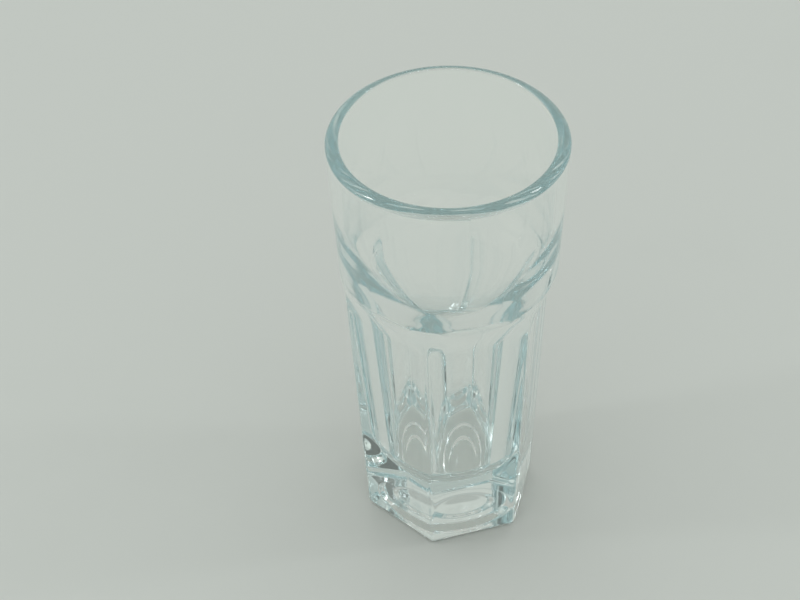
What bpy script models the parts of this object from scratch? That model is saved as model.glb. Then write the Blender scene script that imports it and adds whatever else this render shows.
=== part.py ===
"""A small tall fruit brandy glass, pressed in one piece of clear soda-lime glass.

The blank is turned: an outer cone with a fire-polished lip, a bore that steps in through a cove and a ledge
from the drinking band to the panelled body, and two shallow recesses under the foot. Six flat panels are
then cut down the outside. Each one runs out in an arc below the round drinking band, so that its top
becomes an arch, and the panels meet in narrow ridges that end in a six-sided foot.

Units are metres and +Z is up. The origin is at the centre of the foot, on the table.
One panel faces -Y.
"""

import math

import bmesh
import bpy

# Outside
HEIGHT = 0.0922
LIP_DIAMETER = 0.0460
FOOT_ACROSS_FLATS = 0.0304

# Lip: a long round outside its crest and a short one inside
LIP_WALL = 0.00255
LIP_OUTER_ROUND_HEIGHT = 0.0019
LIP_INNER_ROUND = 0.00045

# Bore, from the rim down
BAND_DEPTH = 0.0154
BAND_WALL = 0.0023
COVE_RADIUS = 0.0500
LEDGE_LEAN = math.radians(16.5)
LEDGE_DROP = 0.0053
FLOOR_THICKNESS = 0.0133
FLOOR_EDGE_WALL = 0.0027
FLOOR_FILLET = 0.0055

# Panels
PANEL_COUNT = 6
FLAT_TOP_BELOW_LEDGE = 0.0048
RUNOUT_RADIUS = 0.0085
RIDGE_WIDTH = 0.0005

# Underside: a resting ring and two recesses, one inside the other
FOOT_RING_WIDTH = 0.0034
RECESS_STEP_WIDTH = 0.0042
RECESS_RISE = 0.00045
RECESS_FLANK = 0.0007
HEEL_ROUND = 0.0007

# Facets of the round shapes
TURN_STEPS = 96
LIP_OUTER_STEPS = 8
LIP_INNER_STEPS = 3
COVE_STEPS = 6
FILLET_STEPS = 7
RUNOUT_STEPS = 14
HEEL_STEPS = 2

# How far a panel cutter reaches past the blank
CUT_OVERRUN = 0.0020

GLASS_COLOUR = (0.87, 0.95, 0.96, 1.0)
GLASS_ROUGHNESS = 0.02
GLASS_IOR = 1.52

PANEL_HALF_ANGLE = math.pi / PANEL_COUNT
LIP_RADIUS = LIP_DIAMETER / 2
WALL_TOP = HEIGHT - LIP_OUTER_ROUND_HEIGHT
BORE_RADIUS = LIP_RADIUS - LIP_WALL
BORE_TOP = HEIGHT - LIP_INNER_ROUND


def blank_radius(height):
    """Radius of the turned cone, which leaves a ridge of RIDGE_WIDTH between two panels."""
    trimmed_apothem = FOOT_ACROSS_FLATS / 2 - RIDGE_WIDTH / 2 * math.sin(PANEL_HALF_ANGLE)
    foot_radius = trimmed_apothem / math.cos(PANEL_HALF_ANGLE)
    return foot_radius + (LIP_RADIUS - foot_radius) * height / WALL_TOP


def panel_distance(height):
    """Distance from the axis to a panel's flat, which leans out with the cone."""
    taper = blank_radius(height) - blank_radius(0.0)
    return FOOT_ACROSS_FLATS / 2 + taper * math.cos(PANEL_HALF_ANGLE)


def arc(centre, radii, start, end, steps):
    """Points of an elliptical arc in the (radius, height) plane, angles in radians."""
    points = []
    for step in range(steps + 1):
        angle = start + (end - start) * step / steps
        points.append((centre[0] + radii[0] * math.cos(angle), centre[1] + radii[1] * math.sin(angle)))
    return points


def ledge_points():
    """The bore's ledge, upwards: its edge, then the cove that turns its flank into the band's wall."""
    band_foot = HEIGHT - BAND_DEPTH
    band_radius = blank_radius(band_foot) - BAND_WALL
    band_lean = math.atan2(BORE_RADIUS - band_radius, BORE_TOP - band_foot)
    centre = (band_radius - COVE_RADIUS * math.cos(band_lean), band_foot + COVE_RADIUS * math.sin(band_lean))
    cove = arc(centre, (COVE_RADIUS, COVE_RADIUS), -LEDGE_LEAN, -band_lean, COVE_STEPS)
    edge = (cove[0][0] - LEDGE_DROP * math.tan(LEDGE_LEAN), cove[0][1] - LEDGE_DROP)
    return [edge] + cove


def bore_points():
    """The bore, from its centre up to the lip: floor, fillet, panel stretch, ledge and cove."""
    floor_radius = panel_distance(FLOOR_THICKNESS) - FLOOR_EDGE_WALL
    fillet_centre = (floor_radius - FLOOR_FILLET, FLOOR_THICKNESS + FLOOR_FILLET)
    fillet = arc(fillet_centre, (FLOOR_FILLET, FLOOR_FILLET), -math.pi / 2, 0.0, FILLET_STEPS)
    return [(0.0, FLOOR_THICKNESS)] + fillet + ledge_points()


def lip_points():
    """The fire-polished lip, over its crest from the bore to the widest circle outside."""
    crest_radius = BORE_RADIUS + LIP_INNER_ROUND
    inner_radii = (LIP_INNER_ROUND, LIP_INNER_ROUND)
    outer_radii = (LIP_RADIUS - crest_radius, LIP_OUTER_ROUND_HEIGHT)
    inner = arc((crest_radius, BORE_TOP), inner_radii, math.pi, math.pi / 2, LIP_INNER_STEPS)
    outer = arc((crest_radius, WALL_TOP), outer_radii, math.pi / 2, 0.0, LIP_OUTER_STEPS)
    return inner + outer[1:]


def underside_points():
    """The foot's edge, its resting ring and the two recesses, in to the axis."""
    ring_radius = FOOT_ACROSS_FLATS / 2 - FOOT_RING_WIDTH
    step_radius = ring_radius - RECESS_STEP_WIDTH
    return [
        (blank_radius(0.0), 0.0),
        (ring_radius, 0.0),
        (ring_radius - RECESS_FLANK, RECESS_RISE),
        (step_radius, RECESS_RISE),
        (step_radius - RECESS_FLANK, 2 * RECESS_RISE),
        (0.0, 2 * RECESS_RISE),
    ]


def turn(name, profile):
    """Turn a (radius, height) profile about the Z axis with a Screw modifier."""
    mesh = bpy.data.meshes.new(name)
    vertices = [(radius, 0.0, height) for radius, height in profile]
    edges = [(i, i + 1) for i in range(len(profile) - 1)]
    mesh.from_pydata(vertices, edges, [])
    turned = bpy.data.objects.new(name, mesh)
    screw = turned.modifiers.new("turn", 'SCREW')
    screw.axis = 'Z'
    screw.angle = math.tau
    screw.steps = TURN_STEPS
    screw.render_steps = TURN_STEPS
    screw.use_merge_vertices = True
    screw.merge_threshold = 1e-6
    screw.use_smooth_shade = True
    return turned


def panel_outline():
    """Outline of what one panel takes away, seen along the panel: its flat, then its run-out arc."""
    flat_height = ledge_points()[0][1] - FLAT_TOP_BELOW_LEDGE
    flat_top = panel_distance(flat_height)
    reach = LIP_RADIUS + CUT_OVERRUN
    runout_angle = math.acos(1 - (reach - flat_top) / RUNOUT_RADIUS)
    centre = (flat_top + RUNOUT_RADIUS, flat_height)
    runout = arc(centre, (RUNOUT_RADIUS, RUNOUT_RADIUS), math.pi, math.pi - runout_angle, RUNOUT_STEPS)
    return [(panel_distance(-CUT_OVERRUN), -CUT_OVERRUN)] + runout + [(reach, -CUT_OVERRUN)]


def panel_cutter_mesh():
    """The panel outline, drawn in one face and extruded right across the blank."""
    half_width = LIP_RADIUS + CUT_OVERRUN
    cutter = bmesh.new()
    corners = [cutter.verts.new((-half_width, -distance, height)) for distance, height in panel_outline()]
    side = cutter.faces.new(corners)
    extruded = bmesh.ops.extrude_face_region(cutter, geom=[side])
    moved = [item for item in extruded["geom"] if isinstance(item, bmesh.types.BMVert)]
    bmesh.ops.translate(cutter, verts=moved, vec=(2 * half_width, 0.0, 0.0))
    bmesh.ops.recalc_face_normals(cutter, faces=cutter.faces)
    mesh = bpy.data.meshes.new("panel_cutter")
    cutter.to_mesh(mesh)
    cutter.free()
    return mesh


def cut_panels(glass, cutters):
    """Cut the panels round the blank, one Boolean for each turn of the same cutter."""
    mesh = panel_cutter_mesh()
    for index in range(PANEL_COUNT):
        cutter = bpy.data.objects.new(f"panel_cutter_{index + 1}", mesh)
        cutter.rotation_euler.z = 2 * PANEL_HALF_ANGLE * index
        cutter.hide_render = True
        cutter.display_type = 'WIRE'
        cutters.objects.link(cutter)
        cut = glass.modifiers.new(f"panel_{index + 1}", 'BOOLEAN')
        cut.operation = 'DIFFERENCE'
        cut.solver = 'EXACT'
        cut.object = cutter


def round_heel(glass):
    """Round the foot's lower edge, the one edge of the glass that turns through a right angle."""
    heel = glass.modifiers.new("heel", 'BEVEL')
    heel.limit_method = 'ANGLE'
    heel.angle_limit = math.radians(60)
    heel.width = HEEL_ROUND
    heel.segments = HEEL_STEPS


def settle_normals(glass):
    """Let the large flats keep their own normals, so that they shade as flats beside the round forms."""
    normals = glass.modifiers.new("normals", 'WEIGHTED_NORMAL')
    normals.weight = 100
    normals.mode = 'FACE_AREA'


def glass_material():
    """Clear pressed glass with a faint blue-green tint."""
    material = bpy.data.materials.new("clear_pressed_glass")
    material.use_nodes = True
    shader = material.node_tree.nodes["Principled BSDF"]
    shader.inputs["Base Color"].default_value = GLASS_COLOUR
    shader.inputs["Metallic"].default_value = 0.0
    shader.inputs["Roughness"].default_value = GLASS_ROUGHNESS
    shader.inputs["IOR"].default_value = GLASS_IOR
    shader.inputs["Transmission Weight"].default_value = 1.0
    return material


def new_collection(name):
    """A collection of its own in the scene."""
    collection = bpy.data.collections.new(name)
    bpy.context.scene.collection.children.link(collection)
    return collection


def main():
    for old in list(bpy.data.objects):
        bpy.data.objects.remove(old, do_unlink=True)
    parts = new_collection("fruit_brandy_glass")
    cutters = new_collection("fruit_brandy_glass_cutters")
    glass = turn("glass_tumbler", bore_points() + lip_points() + underside_points())
    parts.objects.link(glass)
    glass.data.materials.append(glass_material())
    cut_panels(glass, cutters)
    round_heel(glass)
    settle_normals(glass)


main()
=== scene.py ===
# %% [markdown]
# # A pressed fruit brandy glass
# A small tall tumbler for fruit spirits. It is one piece of clear soda-lime glass: a gob is dropped into
# a six-sided mould, and a plunger pressed into it from above forms the bore. This lesson dresses the
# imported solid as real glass. Clear glass hides nothing, so the look comes from true wall thicknesses far
# more than from its shader: the light bends at every surface, and a wall that is 1 mm out shows as a line
# out of place.

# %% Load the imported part
import math

import bmesh
import bpy
import numpy as np
from mathutils import Matrix, Vector


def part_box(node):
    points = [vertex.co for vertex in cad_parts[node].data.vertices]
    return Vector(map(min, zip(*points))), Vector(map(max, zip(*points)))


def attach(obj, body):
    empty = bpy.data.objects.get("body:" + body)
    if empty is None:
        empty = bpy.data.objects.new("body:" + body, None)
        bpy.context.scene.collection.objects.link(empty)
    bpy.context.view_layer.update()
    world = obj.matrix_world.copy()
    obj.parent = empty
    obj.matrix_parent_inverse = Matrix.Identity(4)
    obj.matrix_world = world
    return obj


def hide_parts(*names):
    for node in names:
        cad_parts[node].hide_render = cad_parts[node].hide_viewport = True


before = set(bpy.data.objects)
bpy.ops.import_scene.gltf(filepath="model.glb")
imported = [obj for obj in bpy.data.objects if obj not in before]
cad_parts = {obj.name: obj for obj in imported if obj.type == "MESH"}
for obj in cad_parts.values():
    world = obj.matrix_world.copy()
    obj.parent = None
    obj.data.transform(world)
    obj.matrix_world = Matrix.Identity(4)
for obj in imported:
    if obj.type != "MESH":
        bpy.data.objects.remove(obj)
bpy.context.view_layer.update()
GLASS_NODE = "glass_tumbler"
_, box_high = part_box(GLASS_NODE)
HEIGHT = box_high.z
LIP_RADIUS = box_high.x
print("packed nodes:", list(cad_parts))
print(f"glass: {HEIGHT * 1000:.1f} mm tall, {LIP_RADIUS * 2000:.1f} mm across the lip")

# %% [markdown]
# ## The camera
# The photograph looks down into the glass from about forty degrees, with a long lens and a slight roll.
# A camera can be aimed by hand, or solved from known circles. Here the lip's crest, its widest circle
# and the corners of the foot gave the pitch, roll and distance. The part stays where the CAD put it, with
# one panel facing -Y, so the camera and the lights are turned about the glass instead.

# %% Camera
PART_TURN = math.radians(16.24)
CAMERA_PITCH = math.radians(41.8105)
CAMERA_ROLL = math.radians(-1.283)
CAMERA_PLACE = (-0.009604, -0.405138, 0.413867)
LENS_MM = 125.0
SENSOR_MM = 36.0
NEAR_CLIP = 0.01

scene = bpy.context.scene
studio_turn = Matrix.Rotation(-PART_TURN, 4, 'Z')
camera_data = bpy.data.cameras.new("camera")
camera_data.lens = LENS_MM
camera_data.sensor_width = SENSOR_MM
camera_data.clip_start = NEAR_CLIP
camera = bpy.data.objects.new("camera", camera_data)
scene.collection.objects.link(camera)
aim = Matrix.Rotation(math.pi / 2 - CAMERA_PITCH, 4, 'X') @ Matrix.Rotation(CAMERA_ROLL, 4, 'Z')
camera.matrix_world = studio_turn @ Matrix.Translation(CAMERA_PLACE) @ aim
scene.camera = camera
print("camera at", [round(value, 4) for value in camera.matrix_world.translation])

# %% [markdown]
# ## The outside: a cone with six flats
# The blank is a slim cone. Six panels flatten it, meet in soft ridges and run out in an arc below the
# round drinking band, so that each panel ends in an arch. Boolean cuts make crisp solids, and the CAD uses
# them, but refraction shows every facet and pinched normal they leave. For the look, each ring of the mesh
# is computed: its radius in every direction is the smaller of the cone and the panels, blended where they
# meet. Along the ridges the blend is a fraction of a millimetre. Around the arches it grows, because the
# flame that polishes the lip softens them most. That soft edge is what splits the ledge behind it into
# wide pale fields.

# %% Outer form
SIDES = 360
PANELS = 6
HALF_PANEL = math.pi / PANELS
FOOT_RIDGE_RADIUS = 0.01755
LIP_ROUND_HEIGHT = 0.0014
FLAT_TOP = 0.0540
RUNOUT_RADIUS = 0.0100
RUNOUT_END = 0.0094
RIDGE_BLEND = 0.0004
ARCH_BLEND = 0.0026
ARCH_EASE = 0.0062

band_top = HEIGHT - LIP_ROUND_HEIGHT
turn_angles = np.arange(SIDES) * math.tau / SIDES
from_panel = (turn_angles + HALF_PANEL) % (2 * HALF_PANEL) - HALF_PANEL


def cone_radius(height):
    """Radius of the blank before the panels."""
    return FOOT_RIDGE_RADIUS + (LIP_RADIUS - FOOT_RIDGE_RADIUS) * height / band_top


def panel_distance(height):
    """Distance from the axis to a panel, with its arc above the flat."""
    above_flat = min(max(height - FLAT_TOP, 0.0), RUNOUT_END)
    arc_out = RUNOUT_RADIUS - math.sqrt(RUNOUT_RADIUS ** 2 - above_flat ** 2)
    return cone_radius(height) * math.cos(HALF_PANEL) + arc_out


def eased(share):
    """A share from 0 to 1 that starts and ends softly."""
    share = min(max(share, 0.0), 1.0)
    return share * share * (3 - 2 * share)


def soft_minimum(first, second, blend):
    """The smaller of two radii, rounded where they cross."""
    overlap = np.maximum(blend - np.abs(first - second), 0.0) / blend
    return np.minimum(first, second) - overlap ** 2 * blend / 4


def outer_ring(height):
    """Radius of the outside in every direction at one height."""
    distance = panel_distance(height)
    own_panel = distance / np.cos(from_panel)
    next_panel = distance / np.cos(2 * HALF_PANEL - np.abs(from_panel))
    panels = soft_minimum(own_panel, next_panel, RIDGE_BLEND)
    arch_blend = RIDGE_BLEND + (ARCH_BLEND - RIDGE_BLEND) * eased((height - FLAT_TOP) / ARCH_EASE)
    return soft_minimum(panels, np.full(SIDES, cone_radius(height)), arch_blend)


runout_top = FLAT_TOP + RUNOUT_END
print(f"foot across flats {panel_distance(0) * 2000:.1f} mm, arches end at {runout_top * 1000:.1f} mm")

# %% [markdown]
# ## Rings and stretches
# A turned profile is a row of points from the middle of the underside, up the outside, over the lip and
# down the bore to its floor. Straight stretches need points near their ends, so that the smooth shading
# of a round form doesn't leak along the straight one beside it. Cosine spacing gives just that.

# %% Profile helpers
profile = []


def between(start, end, across, up):
    """A point between two others in (radius, height), with a share of its own for each."""
    radius = start[0] + (end[0] - start[0]) * across
    return radius, start[1] + (end[1] - start[1]) * up


def stretch(start, end, count):
    """Points on a straight line in (radius, height), crowded at both ends, without the first."""
    shares = [(1 - math.cos(math.pi * step / count)) / 2 for step in range(1, count + 1)]
    return [between(start, end, share, share) for share in shares]


def bent(value, power):
    """A cosine or sine raised to a power, with its sign kept."""
    return math.copysign(abs(value) ** power, value)


def arc(centre, radii, start, end, count, power=1.0):
    """Points of an arc in (radius, height), angles in radians, without the first.

    At a power of 1 it is an ellipse, and at 2 a straight bevel.
    """
    points = []
    for step in range(1, count + 1):
        angle = start + (end - start) * step / count
        radius = centre[0] + radii[0] * bent(math.cos(angle), power)
        points.append((radius, centre[1] + radii[1] * bent(math.sin(angle), power)))
    return points


def add_rings(points):
    """Add round rings to the profile."""
    profile.extend((np.full(SIDES, radius), height) for radius, height in points)


print("points on each ring:", SIDES)

# %% [markdown]
# ## The underside
# The foot stands on a flat ring. Inside it, the mould leaves a stepped hollow: a steep flank, a flat, and
# a softer flank up to a slightly domed middle. Seen from above through the thick base, the flanks light up
# as two nested arcs in every panel. Seen from the front, the hollow is a mirror: the steep flank draws the
# grey band around the foot, and the dome the bright oval. A bump could fake the arcs but not the mirror,
# so the hollow is real. It is a short list of stations in radius and height, joined by S-shaped slopes
# like those of a polished mould.

# %% Underside rings
AXIS_HOLE = 0.00025
SLOPE_RINGS = 9
HOLLOW = [(AXIS_HOLE, 0.00230), (0.0053, 0.00215), (0.0071, 0.00160), (0.0093, 0.00160), (0.0111, 0.0)]


def slope(start, end):
    """Points of an S-shaped slope between two stations, without the first."""
    shares = [step / SLOPE_RINGS for step in range(1, SLOPE_RINGS + 1)]
    return [between(start, end, share, eased(share)) for share in shares]


add_rings(HOLLOW[:1])
for start, end in zip(HOLLOW, HOLLOW[1:]):
    add_rings(slope(start, end))
hollow_radius = HOLLOW[-1][0]
print("underside rings:", len(profile))

# %% [markdown]
# ## Foot, panels and band
# The heel is the small round where the panels turn under. Above it the rings follow the panels. Even
# spacing would be simpler, but flats need few rings and curves need many. So they are sparse along the
# panels and stand close together where the arches run out, because the curve there is tight and its
# highlights travel fast.

# %% Outside rings
RESTING_SHARES = (0.1, 0.5, 0.9)
HEEL_ROUND = 0.0013
HEEL_RINGS = 5
PANEL_RINGS = 24
ARCH_RINGS = 47
ARCH_RINGS_BELOW = 0.002
ARCH_RINGS_ABOVE = 0.012
BAND_RINGS = 14


def heights(low, high, count):
    """Heights of a straight stretch of the outside, without the first."""
    return [height for _, height in stretch((0.0, low), (0.0, high), count)]


ring_foot = outer_ring(HEEL_ROUND) - HEEL_ROUND
for share in RESTING_SHARES:
    profile.append((hollow_radius + (ring_foot - hollow_radius) * share, 0.0))
for step in range(HEEL_RINGS + 1):
    angle = math.pi / 2 * step / HEEL_RINGS
    profile.append((ring_foot + HEEL_ROUND * math.sin(angle), HEEL_ROUND * (1 - math.cos(angle))))
arch_low = FLAT_TOP - ARCH_RINGS_BELOW
arch_high = FLAT_TOP + ARCH_RINGS_ABOVE
panel_heights = heights(HEEL_ROUND, arch_low, PANEL_RINGS)
arch_heights = list(np.linspace(arch_low, arch_high, ARCH_RINGS + 1)[1:])
band_heights = heights(arch_high, band_top, BAND_RINGS)
for height in panel_heights + arch_heights + band_heights:
    profile.append((outer_ring(height), height))
print("rings up to the lip:", len(profile))

# %% [markdown]
# ## The lip
# After pressing, the rim is melted again with a flame. The skin pulls itself into a round that is wider
# outside than inside, where the plunger left a sharp edge. A torus would give an even bead, so the lip is
# two quarter arcs instead: a long one from the widest circle to the crest, and a short circle in. The long
# arc is drawn a little flatter than an ellipse. Its slope then hides behind the crest at the far side of
# the rim, which leaves a thin pale line there, while the near side shows the whole slope as a dark band.

# %% Lip rings
LIP_WALL = 0.00255
LIP_INNER_ROUND = 0.0008
LIP_ARC_POWER = 1.4
LIP_OUTER_RINGS = 20
LIP_INNER_RINGS = 12

bore_radius = LIP_RADIUS - LIP_WALL
bore_top = HEIGHT - LIP_INNER_ROUND
crest_radius = bore_radius + LIP_INNER_ROUND
outer_radii = (LIP_RADIUS - crest_radius, LIP_ROUND_HEIGHT)
inner_radii = (LIP_INNER_ROUND, LIP_INNER_ROUND)
add_rings(arc((crest_radius, band_top), outer_radii, 0.0, math.pi / 2, LIP_OUTER_RINGS, LIP_ARC_POWER))
add_rings(arc((crest_radius, bore_top), inner_radii, math.pi / 2, math.pi, LIP_INNER_RINGS))
print(f"lip: crest at {crest_radius * 1000:.2f} mm, bore {bore_radius * 1000:.2f} mm")

# %% [markdown]
# ## The bore
# The plunger is wider in the drinking band than in the panelled body, so the bore steps in. A long cove
# leads from the band's straight wall to a leaning flank, and the flank ends in a crisp ledge. The ledge is
# what draws the dark curved band through the middle of the glass. A Bevel modifier would round other
# edges along with it, so its small round is worked out here, from the lean of the flank to that of the
# wall below.

# %% Cove and ledge
BAND_DEPTH = 0.0154
BAND_FOOT_RADIUS = 0.01985
COVE_RADIUS = 0.0500
LEDGE_LEAN = math.radians(16.5)
LEDGE_DROP = 0.0053
LEDGE_ROUND = 0.0003
BORE_FLOOR_HEIGHT = 0.0133
BORE_FLOOR_RADIUS = 0.0118
BORE_BAND_RINGS = 14
COVE_RINGS = 36
FLANK_RINGS = 10
LEDGE_RINGS = 6

band_foot = HEIGHT - BAND_DEPTH
band_lean = math.atan2(bore_radius - BAND_FOOT_RADIUS, bore_top - band_foot)
cove_centre = (
    BAND_FOOT_RADIUS - COVE_RADIUS * math.cos(band_lean),
    band_foot + COVE_RADIUS * math.sin(band_lean),
)
cove = arc(cove_centre, (COVE_RADIUS, COVE_RADIUS), -band_lean, -LEDGE_LEAN, COVE_RINGS)
ledge = (cove[-1][0] - LEDGE_DROP * math.tan(LEDGE_LEAN), cove[-1][1] - LEDGE_DROP)
body_lean = math.atan2(ledge[0] - BORE_FLOOR_RADIUS, ledge[1] - BORE_FLOOR_HEIGHT)
round_centre = (
    ledge[0] + LEDGE_ROUND * math.cos(LEDGE_LEAN),
    ledge[1] - LEDGE_ROUND * math.sin(LEDGE_LEAN),
)
round_ends = (math.pi - LEDGE_LEAN, math.pi - body_lean)
ledge_round = arc(round_centre, (LEDGE_ROUND, LEDGE_ROUND), *round_ends, LEDGE_RINGS)

add_rings(stretch((bore_radius, bore_top), (BAND_FOOT_RADIUS, band_foot), BORE_BAND_RINGS))
add_rings(cove)
add_rings(stretch(cove[-1], ledge, FLANK_RINGS))
add_rings(ledge_round)
print(f"ledge at {ledge[1] * 1000:.1f} mm, bore there {ledge[0] * 2000:.1f} mm across")

# %% [markdown]
# ## The body of the bore and its floor
# Below the ledge the bore narrows in one straight line, faster than the panels outside, so the wall grows
# thicker downwards. It turns into the floor with a wide fillet. The base under it is thick, which gives a
# small glass its weight. A sharp corner would be quicker to draw, but a plunger has none, and the fillet
# bends the lines beside the base. Only a pinhole stays open on the axis, for the cap.

# %% Body and floor rings
BORE_FILLET = 0.0055
BODY_RINGS = 20
FILLET_RINGS = 14
BORE_FLOOR_RINGS = 8

body_start = ledge_round[-1]
fillet_height = BORE_FLOOR_HEIGHT + BORE_FILLET
share_down = (body_start[1] - fillet_height) / (body_start[1] - BORE_FLOOR_HEIGHT)
fillet_radius = body_start[0] + (BORE_FLOOR_RADIUS - body_start[0]) * share_down
fillet_centre = (fillet_radius - BORE_FILLET, fillet_height)

add_rings(stretch(body_start, (fillet_radius, fillet_height), BODY_RINGS))
add_rings(arc(fillet_centre, (BORE_FILLET, BORE_FILLET), 0.0, -math.pi / 2, FILLET_RINGS))
add_rings(stretch((fillet_centre[0], BORE_FLOOR_HEIGHT), (AXIS_HOLE, BORE_FLOOR_HEIGHT), BORE_FLOOR_RINGS))
print("rings in all:", len(profile))

# %% [markdown]
# ## One closed skin
# A Screw modifier turns round profiles only, and these rings are six-sided below. So they are joined by
# quads into one watertight mesh, and the two small holes on the axis are capped. One skin matters: glass
# needs a clear inside and outside, or the light would bend the wrong way.

# %% Skin the rings
def ring_faces(ring_count):
    """Quads between neighbouring rings, and a cap on the first and the last one."""
    faces = []
    for ring in range(ring_count - 1):
        low, high = ring * SIDES, (ring + 1) * SIDES
        for side in range(SIDES):
            beside = (side + 1) % SIDES
            faces.append((low + side, low + beside, high + beside, high + side))
    last = (ring_count - 1) * SIDES
    faces.append(tuple(range(SIDES - 1, -1, -1)))
    faces.append(tuple(last + side for side in range(SIDES)))
    return faces


def skin(name, rings):
    """Join rings of equal count into a closed, smooth mesh object."""
    corners = []
    for radius, height in rings:
        across = np.stack([radius * np.sin(turn_angles), -radius * np.cos(turn_angles)], axis=1)
        corners.extend((float(x), float(y), float(height)) for x, y in across)
    mesh = bpy.data.meshes.new(name)
    mesh.from_pydata(corners, [], ring_faces(len(rings)))
    form = bmesh.new()
    form.from_mesh(mesh)
    bmesh.ops.recalc_face_normals(form, faces=form.faces)
    volume = form.calc_volume()
    form.to_mesh(mesh)
    form.free()
    mesh.shade_smooth()
    skinned = bpy.data.objects.new(name, mesh)
    scene.collection.objects.link(skinned)
    print(f"{name}: {len(corners)} points, {volume * 1e6:.1f} ml of glass")
    return skinned


glass = skin("pressed_glass", profile)

# %% [markdown]
# ## Unevenness, a shared node group
# Nothing pressed or laid is perfectly even. Glass that was squeezed in a mould keeps a faint slow ripple
# and a trace of wiping haze, and a matt table top has patches of slightly darker tone. All are soft noise,
# so one group makes them: a slow height and a patchy mask. The glass takes both, the table the mask alone,
# and each sets its own scale.

# %% Node group
SLOW_DETAIL = 1.0
PATCHY_DETAIL = 4.0
PATCH_EDGE = (0.52, 0.75)


def unevenness_group():
    """A node group with a slow height and a patchy mask, from two noises."""
    group = bpy.data.node_groups.new("soft_unevenness", 'ShaderNodeTree')
    for name in ("Ripple Scale", "Patch Scale"):
        group.interface.new_socket(name, in_out='INPUT', socket_type='NodeSocketFloat')
    for name in ("Height", "Mask"):
        group.interface.new_socket(name, in_out='OUTPUT', socket_type='NodeSocketFloat')
    nodes, links = group.nodes, group.links
    given = nodes.new('NodeGroupInput')
    result = nodes.new('NodeGroupOutput')
    place = nodes.new('ShaderNodeTexCoord')
    slow = nodes.new('ShaderNodeTexNoise')
    slow.inputs["Detail"].default_value = SLOW_DETAIL
    patchy = nodes.new('ShaderNodeTexNoise')
    patchy.inputs["Detail"].default_value = PATCHY_DETAIL
    cut = nodes.new('ShaderNodeMapRange')
    cut.interpolation_type = 'SMOOTHSTEP'
    cut.inputs["From Min"].default_value, cut.inputs["From Max"].default_value = PATCH_EDGE
    for noise, scale in ((slow, "Ripple Scale"), (patchy, "Patch Scale")):
        links.new(place.outputs["Object"], noise.inputs["Vector"])
        links.new(given.outputs[scale], noise.inputs["Scale"])
    links.new(slow.outputs["Fac"], result.inputs["Height"])
    links.new(patchy.outputs["Fac"], cut.inputs["Value"])
    links.new(cut.outputs["Result"], result.inputs["Mask"])
    return group


unevenness = unevenness_group()


def place_unevenness(material, patch_scale, ripple_scale=1.0):
    """Put the group into a material with its own scales."""
    node = material.node_tree.nodes.new('ShaderNodeGroup')
    node.node_tree = unevenness
    node.inputs["Patch Scale"].default_value = patch_scale
    node.inputs["Ripple Scale"].default_value = ripple_scale
    return node


print("group sockets:", [socket.name for socket in unevenness.interface.items_tree])

# %% [markdown]
# ## Clear pressed glass
# Soda-lime glass has an index of 1.52. A trace of iron takes a little red away, so thin walls look
# colourless and the long ways through the lip, the ledge and the foot turn blue-green. A tinted Base Color
# would colour thin and thick alike, so the tint is a Volume Absorption, which counts the way travelled.
# The ripple is a bump of a few thousandths of a millimetre, and the haze lifts the roughness in patches.

# %% Glass material
GLASS_IOR = 1.52
GLASS_TINT = (0.80, 0.90, 0.92, 1.0)
GLASS_TINT_DENSITY = 26.0
COLOURLESS = (1.0, 1.0, 1.0, 1.0)
RIPPLE_SCALE = 160.0
RIPPLE_HEIGHT = 0.00003
RIPPLE_STRENGTH = 0.15
HAZE_SCALE = 90.0
HAZE_ROUGHNESS = 0.02


def clear_glass():
    """Clear glass with tint by depth, a faint ripple and traces of haze."""
    material = bpy.data.materials.new("clear_pressed_glass")
    material.use_nodes = True
    nodes, links = material.node_tree.nodes, material.node_tree.links
    shader = nodes["Principled BSDF"]
    shader.inputs["Base Color"].default_value = COLOURLESS
    shader.inputs["Metallic"].default_value = 0.0
    shader.inputs["IOR"].default_value = GLASS_IOR
    shader.inputs["Transmission Weight"].default_value = 1.0
    marks = place_unevenness(material, HAZE_SCALE, RIPPLE_SCALE)
    haze = nodes.new('ShaderNodeMath')
    haze.operation = 'MULTIPLY'
    haze.inputs[1].default_value = HAZE_ROUGHNESS
    links.new(marks.outputs["Mask"], haze.inputs[0])
    links.new(haze.outputs[0], shader.inputs["Roughness"])
    ripple = nodes.new('ShaderNodeBump')
    ripple.inputs["Strength"].default_value = RIPPLE_STRENGTH
    ripple.inputs["Distance"].default_value = RIPPLE_HEIGHT
    links.new(marks.outputs["Height"], ripple.inputs["Height"])
    links.new(ripple.outputs["Normal"], shader.inputs["Normal"])
    depth_tint = nodes.new('ShaderNodeVolumeAbsorption')
    depth_tint.inputs["Color"].default_value = GLASS_TINT
    depth_tint.inputs["Density"].default_value = GLASS_TINT_DENSITY
    links.new(depth_tint.outputs["Volume"], nodes["Material Output"].inputs["Volume"])
    return material


glass.data.materials.append(clear_glass())
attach(glass, "root")
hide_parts(GLASS_NODE)
print("glass material:", glass.data.materials[0].name)

# %% [markdown]
# ## The floor, a table top
# The glass stands on a plain pale matt table with a slight green-grey cast. One large quad is enough for
# it. A hair of air stays between the foot and the table, as there is in life, so that the two surfaces
# don't melt together.

# %% Floor
FLOOR_SIZE = 6.0
FLOOR_GAP = 0.0002

half = FLOOR_SIZE / 2
floor_mesh = bpy.data.meshes.new("table")
floor_corners = [(x * half, y * half, -FLOOR_GAP) for x, y in ((-1, -1), (1, -1), (1, 1), (-1, 1))]
floor_mesh.from_pydata(floor_corners, [], [(0, 1, 2, 3)])
floor = bpy.data.objects.new("table", floor_mesh)
scene.collection.objects.link(floor)
print(f"table: {FLOOR_SIZE:.0f} m square")

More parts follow.
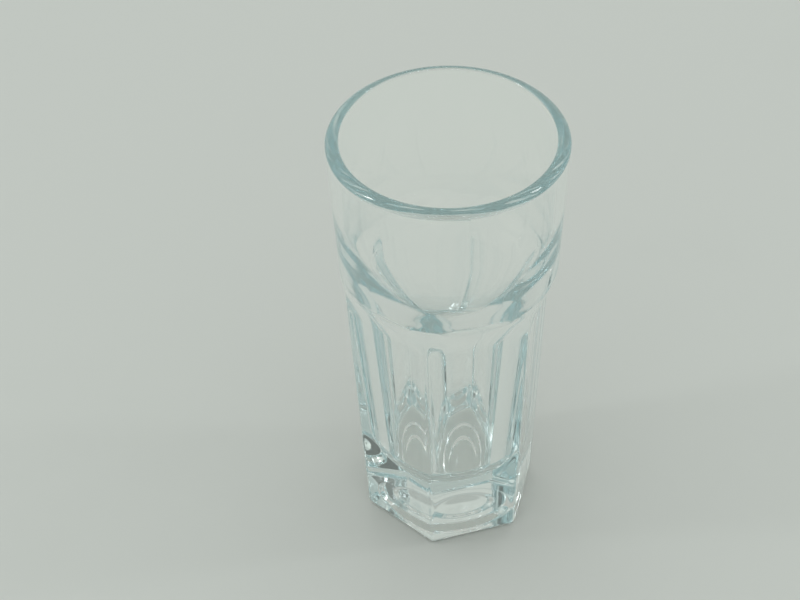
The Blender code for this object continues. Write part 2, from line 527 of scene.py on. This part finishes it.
# %% [markdown]
# ## The table's finish, and painted light under the glass
# Seen through the glass, the table has to stay pale: real glass gathers light on the table under it, which
# a path tracer finds slowly. A lamp from below would light the glass as well. So that light is painted:
# rays that come through the glass see part of the table's plain lit colour as an emission, while the open
# table keeps the glass's shadow.

# %% Table material
FLOOR_COLOUR = (0.620, 0.653, 0.616)
FLOOR_PATCH_TONE = 0.985
FLOOR_PATCH_SCALE = 14.0
FLOOR_ROUGHNESS = 0.6
FLOOR_SPECULAR = 0.2
# Painted light: the colour that the table glows with through the glass, and how much of it is seen.
FLOOR_PAINTED_LIGHT = (0.588, 0.636, 0.578, 1.0)
PAINTED_LIGHT_SHARE = 0.5


def colour_sockets(sockets):
    """The colour sockets of a Mix node, which has others for numbers and vectors."""
    return [socket for socket in sockets if socket.type == 'RGBA']


def table_with_painted_light():
    """A matt pale surface with patches of tone, kept pale behind the glass by painted light of its lit
    colour.
    """
    material = bpy.data.materials.new("table_with_painted_light")
    material.use_nodes = True
    nodes, links = material.node_tree.nodes, material.node_tree.links
    shader = nodes["Principled BSDF"]
    shader.inputs["Roughness"].default_value = FLOOR_ROUGHNESS
    shader.inputs["Specular IOR Level"].default_value = FLOOR_SPECULAR
    marks = place_unevenness(material, FLOOR_PATCH_SCALE)
    patches = nodes.new('ShaderNodeMix')
    patches.data_type = 'RGBA'
    plain, darker = colour_sockets(patches.inputs)
    plain.default_value = FLOOR_COLOUR + (1.0,)
    darker.default_value = tuple(channel * FLOOR_PATCH_TONE for channel in FLOOR_COLOUR) + (1.0,)
    links.new(marks.outputs["Mask"], patches.inputs[0])
    links.new(colour_sockets(patches.outputs)[0], shader.inputs["Base Color"])
    # Painted light: an emission in the table's lit colour, in place of the light that the glass gathers on
    # it.
    painted_light = nodes.new('ShaderNodeEmission')
    painted_light.inputs["Color"].default_value = FLOOR_PAINTED_LIGHT
    path = nodes.new('ShaderNodeLightPath')
    share = nodes.new('ShaderNodeMath')
    share.operation = 'MULTIPLY'
    share.inputs[1].default_value = PAINTED_LIGHT_SHARE
    links.new(path.outputs["Is Transmission Ray"], share.inputs[0])
    join = nodes.new('ShaderNodeMixShader')
    links.new(share.outputs[0], join.inputs[0])
    links.new(shader.outputs["BSDF"], join.inputs[1])
    links.new(painted_light.outputs["Emission"], join.inputs[2])
    links.new(join.outputs["Shader"], nodes["Material Output"].inputs["Surface"])
    return material


floor_mesh.materials.append(table_with_painted_light())
print("table colour:", FLOOR_COLOUR)

# %% [markdown]
# ## A world made of directions
# Clear glass has no colour of its own to show, so its dark and bright streaks are all pictures of the room
# around it. A picture of a studio could light it, or an area lamp for each screen, with harder shadows.
# Here the world is drawn from directions: each thing in the room has edges along an axis, and its tone is
# mixed in between them. An edge is a pair of cosines from that axis, where the thing starts and where it
# is full.

# %% World and its mixers
world = bpy.data.worlds.new("studio")
world.use_nodes = True
scene.world = world
world_nodes, world_links = world.node_tree.nodes, world.node_tree.links
direction = world_nodes.new('ShaderNodeTexCoord').outputs["Generated"]


def along(axis, edge):
    """Share of the way across an edge, met along an axis and eased at both ends."""
    dot = world_nodes.new('ShaderNodeVectorMath')
    dot.operation = 'DOT_PRODUCT'
    dot.inputs[1].default_value = axis
    world_links.new(direction, dot.inputs[0])
    ease = world_nodes.new('ShaderNodeMapRange')
    ease.interpolation_type = 'SMOOTHSTEP'
    ease.inputs["From Min"].default_value, ease.inputs["From Max"].default_value = edge
    world_links.new(dot.outputs["Value"], ease.inputs["Value"])
    return ease.outputs["Result"]


def blend(share, first, second):
    """Mix of two colours, given as values or sockets."""
    mix = world_nodes.new('ShaderNodeMix')
    mix.data_type = 'RGBA'
    world_links.new(share, mix.inputs[0])
    for socket, colour in zip(colour_sockets(mix.inputs), (first, second)):
        if isinstance(colour, tuple):
            socket.default_value = colour
        else:
            world_links.new(colour, socket)
    return colour_sockets(mix.outputs)[0]


def combined(operation, first, second):
    """Two shares in one: their product is where both hold, their maximum where either does."""
    node = world_nodes.new('ShaderNodeMath')
    node.operation = operation
    world_links.new(first, node.inputs[0])
    world_links.new(second, node.inputs[1])
    return node.outputs[0]


def both(first, second):
    """Where two shares overlap."""
    return combined('MULTIPLY', first, second)


print("world:", world.name)

# %% [markdown]
# ## The room that the glass shows
# Pale walls under a duller ceiling, pale screens to the left and right, a grey card behind the glass with
# a lighter stripe across it, and the dim side where the camera is. All around, low down, it is the same
# plain back that the camera sees, so that the glass looks clear from low angles too.

# %% Room
ROOM_CAST = (0.985, 1.000, 0.905)
WALL, CEILING = 0.72, 0.62
LEFT_SCREEN, RIGHT_SCREEN = 0.95, 0.90
CARD, CARD_STRIPE = 0.50, 0.66
DIM_SIDE = 0.16
PLAIN_BACK = (0.50, 0.53, 0.50, 1.0)

CEILING_EDGE = (0.74, 0.88)
SCREEN_SIDE, SCREEN_TOP = (0.45, 0.75), (0.85, 0.75)
CARD_SIDE, CARD_TOP = (0.30, 0.60), (0.80, 0.70)
STRIPE_FOOT, STRIPE_TOP = (0.66, 0.70), (0.84, 0.80)
DIM_EDGE, DIM_FOOT, DIM_TOP = (0.36, 0.52), (0.42, 0.52), (0.93, 0.88)
LOW_EDGE = (0.24, 0.12)

UP = Vector((0.0, 0.0, 1.0))
BACK = studio_turn.to_3x3() @ Vector((0.0, 1.0, 0.0))
RIGHT = studio_turn.to_3x3() @ Vector((1.0, 0.0, 0.0))


def grey(level):
    """A level of grey with the slight cast of the room."""
    return tuple(level * channel for channel in ROOM_CAST) + (1.0,)


screen_height = along(UP, SCREEN_TOP)
card_width = along(BACK, CARD_SIDE)
stripe_height = both(along(UP, STRIPE_FOOT), along(UP, STRIPE_TOP))
dim_height = both(along(UP, DIM_FOOT), along(UP, DIM_TOP))
room = blend(along(UP, CEILING_EDGE), grey(WALL), grey(CEILING))
room = blend(both(along(RIGHT, SCREEN_SIDE), screen_height), room, grey(RIGHT_SCREEN))
room = blend(both(along(-RIGHT, SCREEN_SIDE), screen_height), room, grey(LEFT_SCREEN))
room = blend(both(card_width, along(UP, CARD_TOP)), room, grey(CARD))
room = blend(both(card_width, stripe_height), room, grey(CARD_STRIPE))
room = blend(both(along(-BACK, DIM_EDGE), dim_height), room, grey(DIM_SIDE))
room = blend(along(UP, LOW_EDGE), room, PLAIN_BACK)
print("room drawn with", len(world_nodes), "nodes")

# %% [markdown]
# ## What each ray sees
# One world for all rays would be simpler, but a room with such contrast would light the table unevenly.
# So the table gets one even, soft light from all around. Rays that were bent or mirrored, as glass does,
# are known by Light Path and get the room, and the camera gets the plain pale back.

# %% Rays
EVEN_LIGHT = (0.800, 0.815, 0.805, 1.0)

path = world_nodes.new('ShaderNodeLightPath')
by_glass = combined('MAXIMUM', path.outputs["Is Glossy Ray"], path.outputs["Is Transmission Ray"])
light = blend(by_glass, EVEN_LIGHT, room)
shown = blend(path.outputs["Is Camera Ray"], light, PLAIN_BACK)
world_links.new(shown, world_nodes["Background"].inputs["Color"])
print("even light:", EVEN_LIGHT[:3])

# %% [markdown]
# ## Lamps for the glints
# Soft light alone leaves glass without sparkle. Bright spots in the world could make it, but lamps are
# easier to place. Two small upright ones at the sides put the glints on the lip and the foot. They are
# weak, so that the table keeps its even tone.

# %% Lamps
LAMP_WIDTH = 0.10
LAMP_HEIGHT = 0.20
LAMP_PLACES = {"lamp_left": (-0.90, -0.10, 0.85), "lamp_right": (0.90, 0.05, 0.85)}
LAMP_WATTS = {"lamp_left": 0.8, "lamp_right": 0.6}


def glint_lamp(name):
    """A small upright area lamp aimed at the glass."""
    lamp_data = bpy.data.lights.new(name, 'AREA')
    lamp_data.shape = 'RECTANGLE'
    lamp_data.size = LAMP_WIDTH
    lamp_data.size_y = LAMP_HEIGHT
    lamp_data.energy = LAMP_WATTS[name]
    lamp = bpy.data.objects.new(name, lamp_data)
    scene.collection.objects.link(lamp)
    lamp.location = studio_turn @ Vector(LAMP_PLACES[name])
    towards = Vector((0.0, 0.0, HEIGHT / 2)) - lamp.location
    lamp.rotation_euler = towards.to_track_quat('-Z', 'Y').to_euler()


for name in LAMP_PLACES:
    glint_lamp(name)
print("lamps:", LAMP_WATTS)

# %% [markdown]
# ## Light paths
# In thick glass, light bounces from wall to wall many times before it comes out. With the usual few
# bounces, those places would turn black, so the limits go up. The Standard view shows colours as written.

# %% Bounces and view
GLASS_BOUNCES = 40
ALL_BOUNCES = 48

scene.cycles.max_bounces = ALL_BOUNCES
scene.cycles.glossy_bounces = GLASS_BOUNCES
scene.cycles.transmission_bounces = GLASS_BOUNCES
scene.cycles.caustics_reflective = True
scene.cycles.caustics_refractive = True
scene.view_settings.view_transform = 'Standard'
print("bounces:", scene.cycles.max_bounces)
